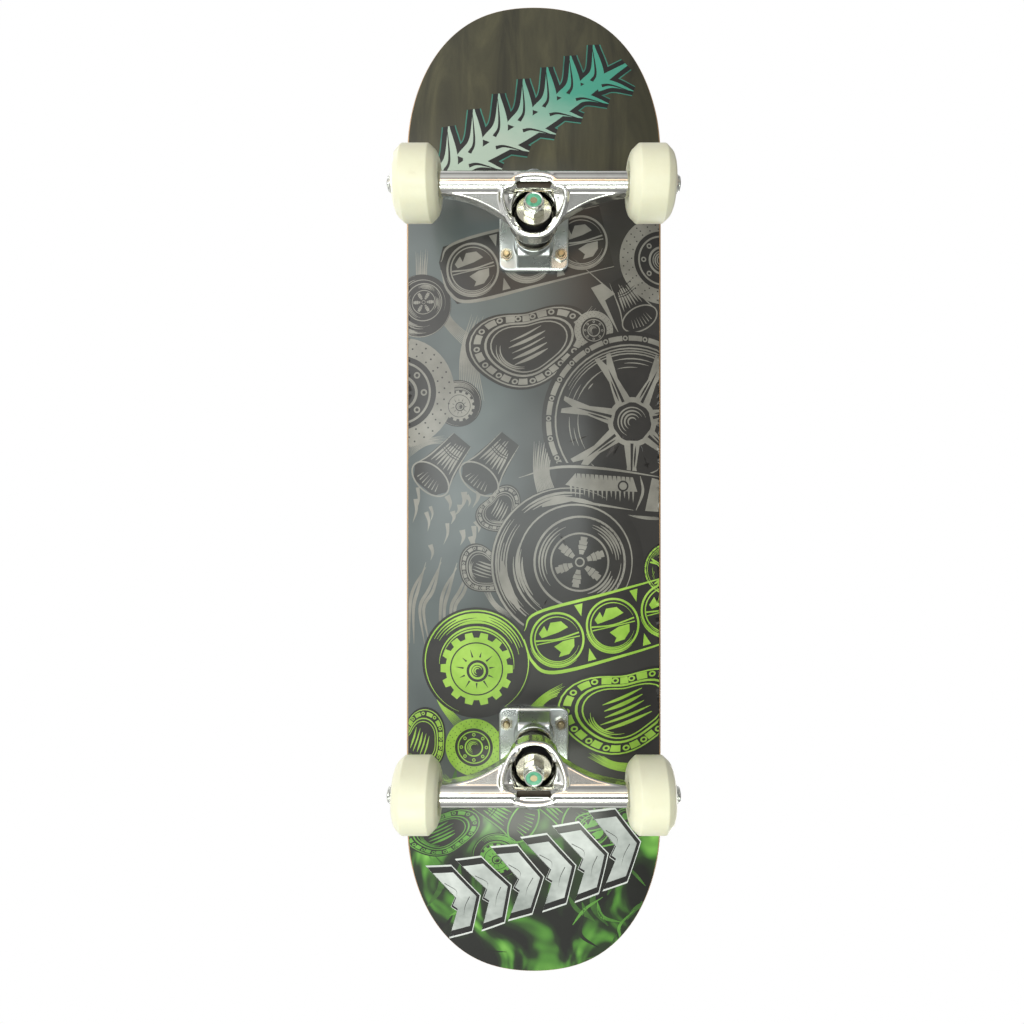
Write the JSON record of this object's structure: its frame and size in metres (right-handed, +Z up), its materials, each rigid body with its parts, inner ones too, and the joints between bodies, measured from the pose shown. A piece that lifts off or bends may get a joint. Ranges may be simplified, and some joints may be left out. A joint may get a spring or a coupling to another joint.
{
  "type": "skateboard",
  "caption": "Double-kick street skateboard: concave laminated deck with printed underside, cast steering trucks on bushings, and free-rolling urethane wheels on ball bearings.",
  "frame": {"origin": "middle of the plane that the four wheels stand on", "axes": "+X across the board, +Y along it towards the nose, +Z up"},
  "size_m": [0.2046, 0.797, 0.1369],
  "materials": {
    "print": "printed film, satin clear coat",
    "grip": "coarse black grit",
    "maple": "maple veneer",
    "cast_aluminium": "cast and tumbled",
    "polished_aluminium": "cast and polished",
    "black_plastic": "moulded",
    "bolt_steel": "turned",
    "zinc_steel": "zinc plated",
    "teal_nylon": "moulded nylon",
    "black_urethane": "moulded",
    "bearing_steel": "ground",
    "black_shield": "pressed seal",
    "cream_urethane": "cast urethane"
  },
  "bodies": {
    "board": {"bottom_print": "print", "ply_1": "maple", "ply_2": "maple", "ply_3": "maple", "ply_4": "maple", "ply_5": "maple", "ply_6": "maple", "ply_7": "maple", "grip_tape": "grip", "front_baseplate": "cast_aluminium", "front_pivot_cup": "black_plastic", "front_kingpin": "bolt_steel", "front_kingpin_nut": "zinc_steel", "front_nut_insert": "teal_nylon", "front_top_washer": "zinc_steel", "front_top_bushing": "black_urethane", "front_bottom_bushing": "black_urethane", "front_bottom_washer": "zinc_steel", "front_mounting_bolts": "zinc_steel", "front_mounting_nuts": "zinc_steel", "rear_baseplate": "cast_aluminium", "rear_pivot_cup": "black_plastic", "rear_kingpin": "bolt_steel", "rear_kingpin_nut": "zinc_steel", "rear_nut_insert": "teal_nylon", "rear_top_washer": "zinc_steel", "rear_top_bushing": "black_urethane", "rear_bottom_bushing": "black_urethane", "rear_bottom_washer": "zinc_steel", "rear_mounting_bolts": "zinc_steel", "rear_mounting_nuts": "zinc_steel"},
    "front_hanger_body": {"front_hanger": "polished_aluminium", "front_axle": "bolt_steel", "front_axle_nuts": "zinc_steel", "front_speed_rings": "zinc_steel", "front_bearing_inner_rings": "bearing_steel"},
    "front_left_wheel_body": {"front_left_wheel": "cream_urethane", "front_left_bearing_outer_rings": "bearing_steel", "front_left_bearing_shields": "black_shield"},
    "front_left_cage_body": {"front_left_ball_cages": "bearing_steel"},
    "front_right_wheel_body": {"front_right_wheel": "cream_urethane", "front_right_bearing_outer_rings": "bearing_steel", "front_right_bearing_shields": "black_shield"},
    "front_right_cage_body": {"front_right_ball_cages": "bearing_steel"},
    "rear_hanger_body": {"rear_hanger": "polished_aluminium", "rear_axle": "bolt_steel", "rear_axle_nuts": "zinc_steel", "rear_speed_rings": "zinc_steel", "rear_bearing_inner_rings": "bearing_steel"},
    "rear_left_wheel_body": {"rear_left_wheel": "cream_urethane", "rear_left_bearing_outer_rings": "bearing_steel", "rear_left_bearing_shields": "black_shield"},
    "rear_left_cage_body": {"rear_left_ball_cages": "bearing_steel"},
    "rear_right_wheel_body": {"rear_right_wheel": "cream_urethane", "rear_right_bearing_outer_rings": "bearing_steel", "rear_right_bearing_shields": "black_shield"},
    "rear_right_cage_body": {"rear_right_ball_cages": "bearing_steel"}
  },
  "joints": [
    {"name": "front_steer", "type": "hinge", "parent": "board", "child": "front_hanger_body", "pos_m": [0, 0.2283, 0.065], "axis": [0, 0.8634, 0.5045], "range_deg": [-12, 12], "stiffness_Nm_per_rad": 40, "deforming": ["front_top_bushing", "front_bottom_bushing"]},
    {"name": "front_left_wheel_spin", "type": "hinge", "parent": "front_hanger_body", "child": "front_left_wheel_body", "pos_m": [-0.0815, 0.2135, 0.0265], "axis": [1, 0, 0], "continuous": true},
    {"name": "front_left_cage_spin", "type": "hinge", "parent": "front_hanger_body", "child": "front_left_cage_body", "pos_m": [-0.0815, 0.2135, 0.0265], "axis": [1, 0, 0], "continuous": true},
    {"name": "front_right_wheel_spin", "type": "hinge", "parent": "front_hanger_body", "child": "front_right_wheel_body", "pos_m": [0.0815, 0.2135, 0.0265], "axis": [1, 0, 0], "continuous": true},
    {"name": "front_right_cage_spin", "type": "hinge", "parent": "front_hanger_body", "child": "front_right_cage_body", "pos_m": [0.0815, 0.2135, 0.0265], "axis": [1, 0, 0], "continuous": true},
    {"name": "rear_steer", "type": "hinge", "parent": "board", "child": "rear_hanger_body", "pos_m": [0, -0.2283, 0.065], "axis": [0, -0.8634, 0.5045], "range_deg": [-12, 12], "stiffness_Nm_per_rad": 40, "deforming": ["rear_top_bushing", "rear_bottom_bushing"]},
    {"name": "rear_left_wheel_spin", "type": "hinge", "parent": "rear_hanger_body", "child": "rear_left_wheel_body", "pos_m": [-0.0815, -0.2135, 0.0265], "axis": [1, 0, 0], "continuous": true},
    {"name": "rear_left_cage_spin", "type": "hinge", "parent": "rear_hanger_body", "child": "rear_left_cage_body", "pos_m": [-0.0815, -0.2135, 0.0265], "axis": [1, 0, 0], "continuous": true},
    {"name": "rear_right_wheel_spin", "type": "hinge", "parent": "rear_hanger_body", "child": "rear_right_wheel_body", "pos_m": [0.0815, -0.2135, 0.0265], "axis": [1, 0, 0], "continuous": true},
    {"name": "rear_right_cage_spin", "type": "hinge", "parent": "rear_hanger_body", "child": "rear_right_cage_body", "pos_m": [0.0815, -0.2135, 0.0265], "axis": [1, 0, 0], "continuous": true}
  ],
  "couplings": [
    {"joint": "front_left_cage_spin", "follows": "front_left_wheel_spin", "ratio": 0.632},
    {"joint": "front_right_cage_spin", "follows": "front_right_wheel_spin", "ratio": 0.632},
    {"joint": "rear_left_cage_spin", "follows": "rear_left_wheel_spin", "ratio": 0.632},
    {"joint": "rear_right_cage_spin", "follows": "rear_right_wheel_spin", "ratio": 0.632}
  ]
}
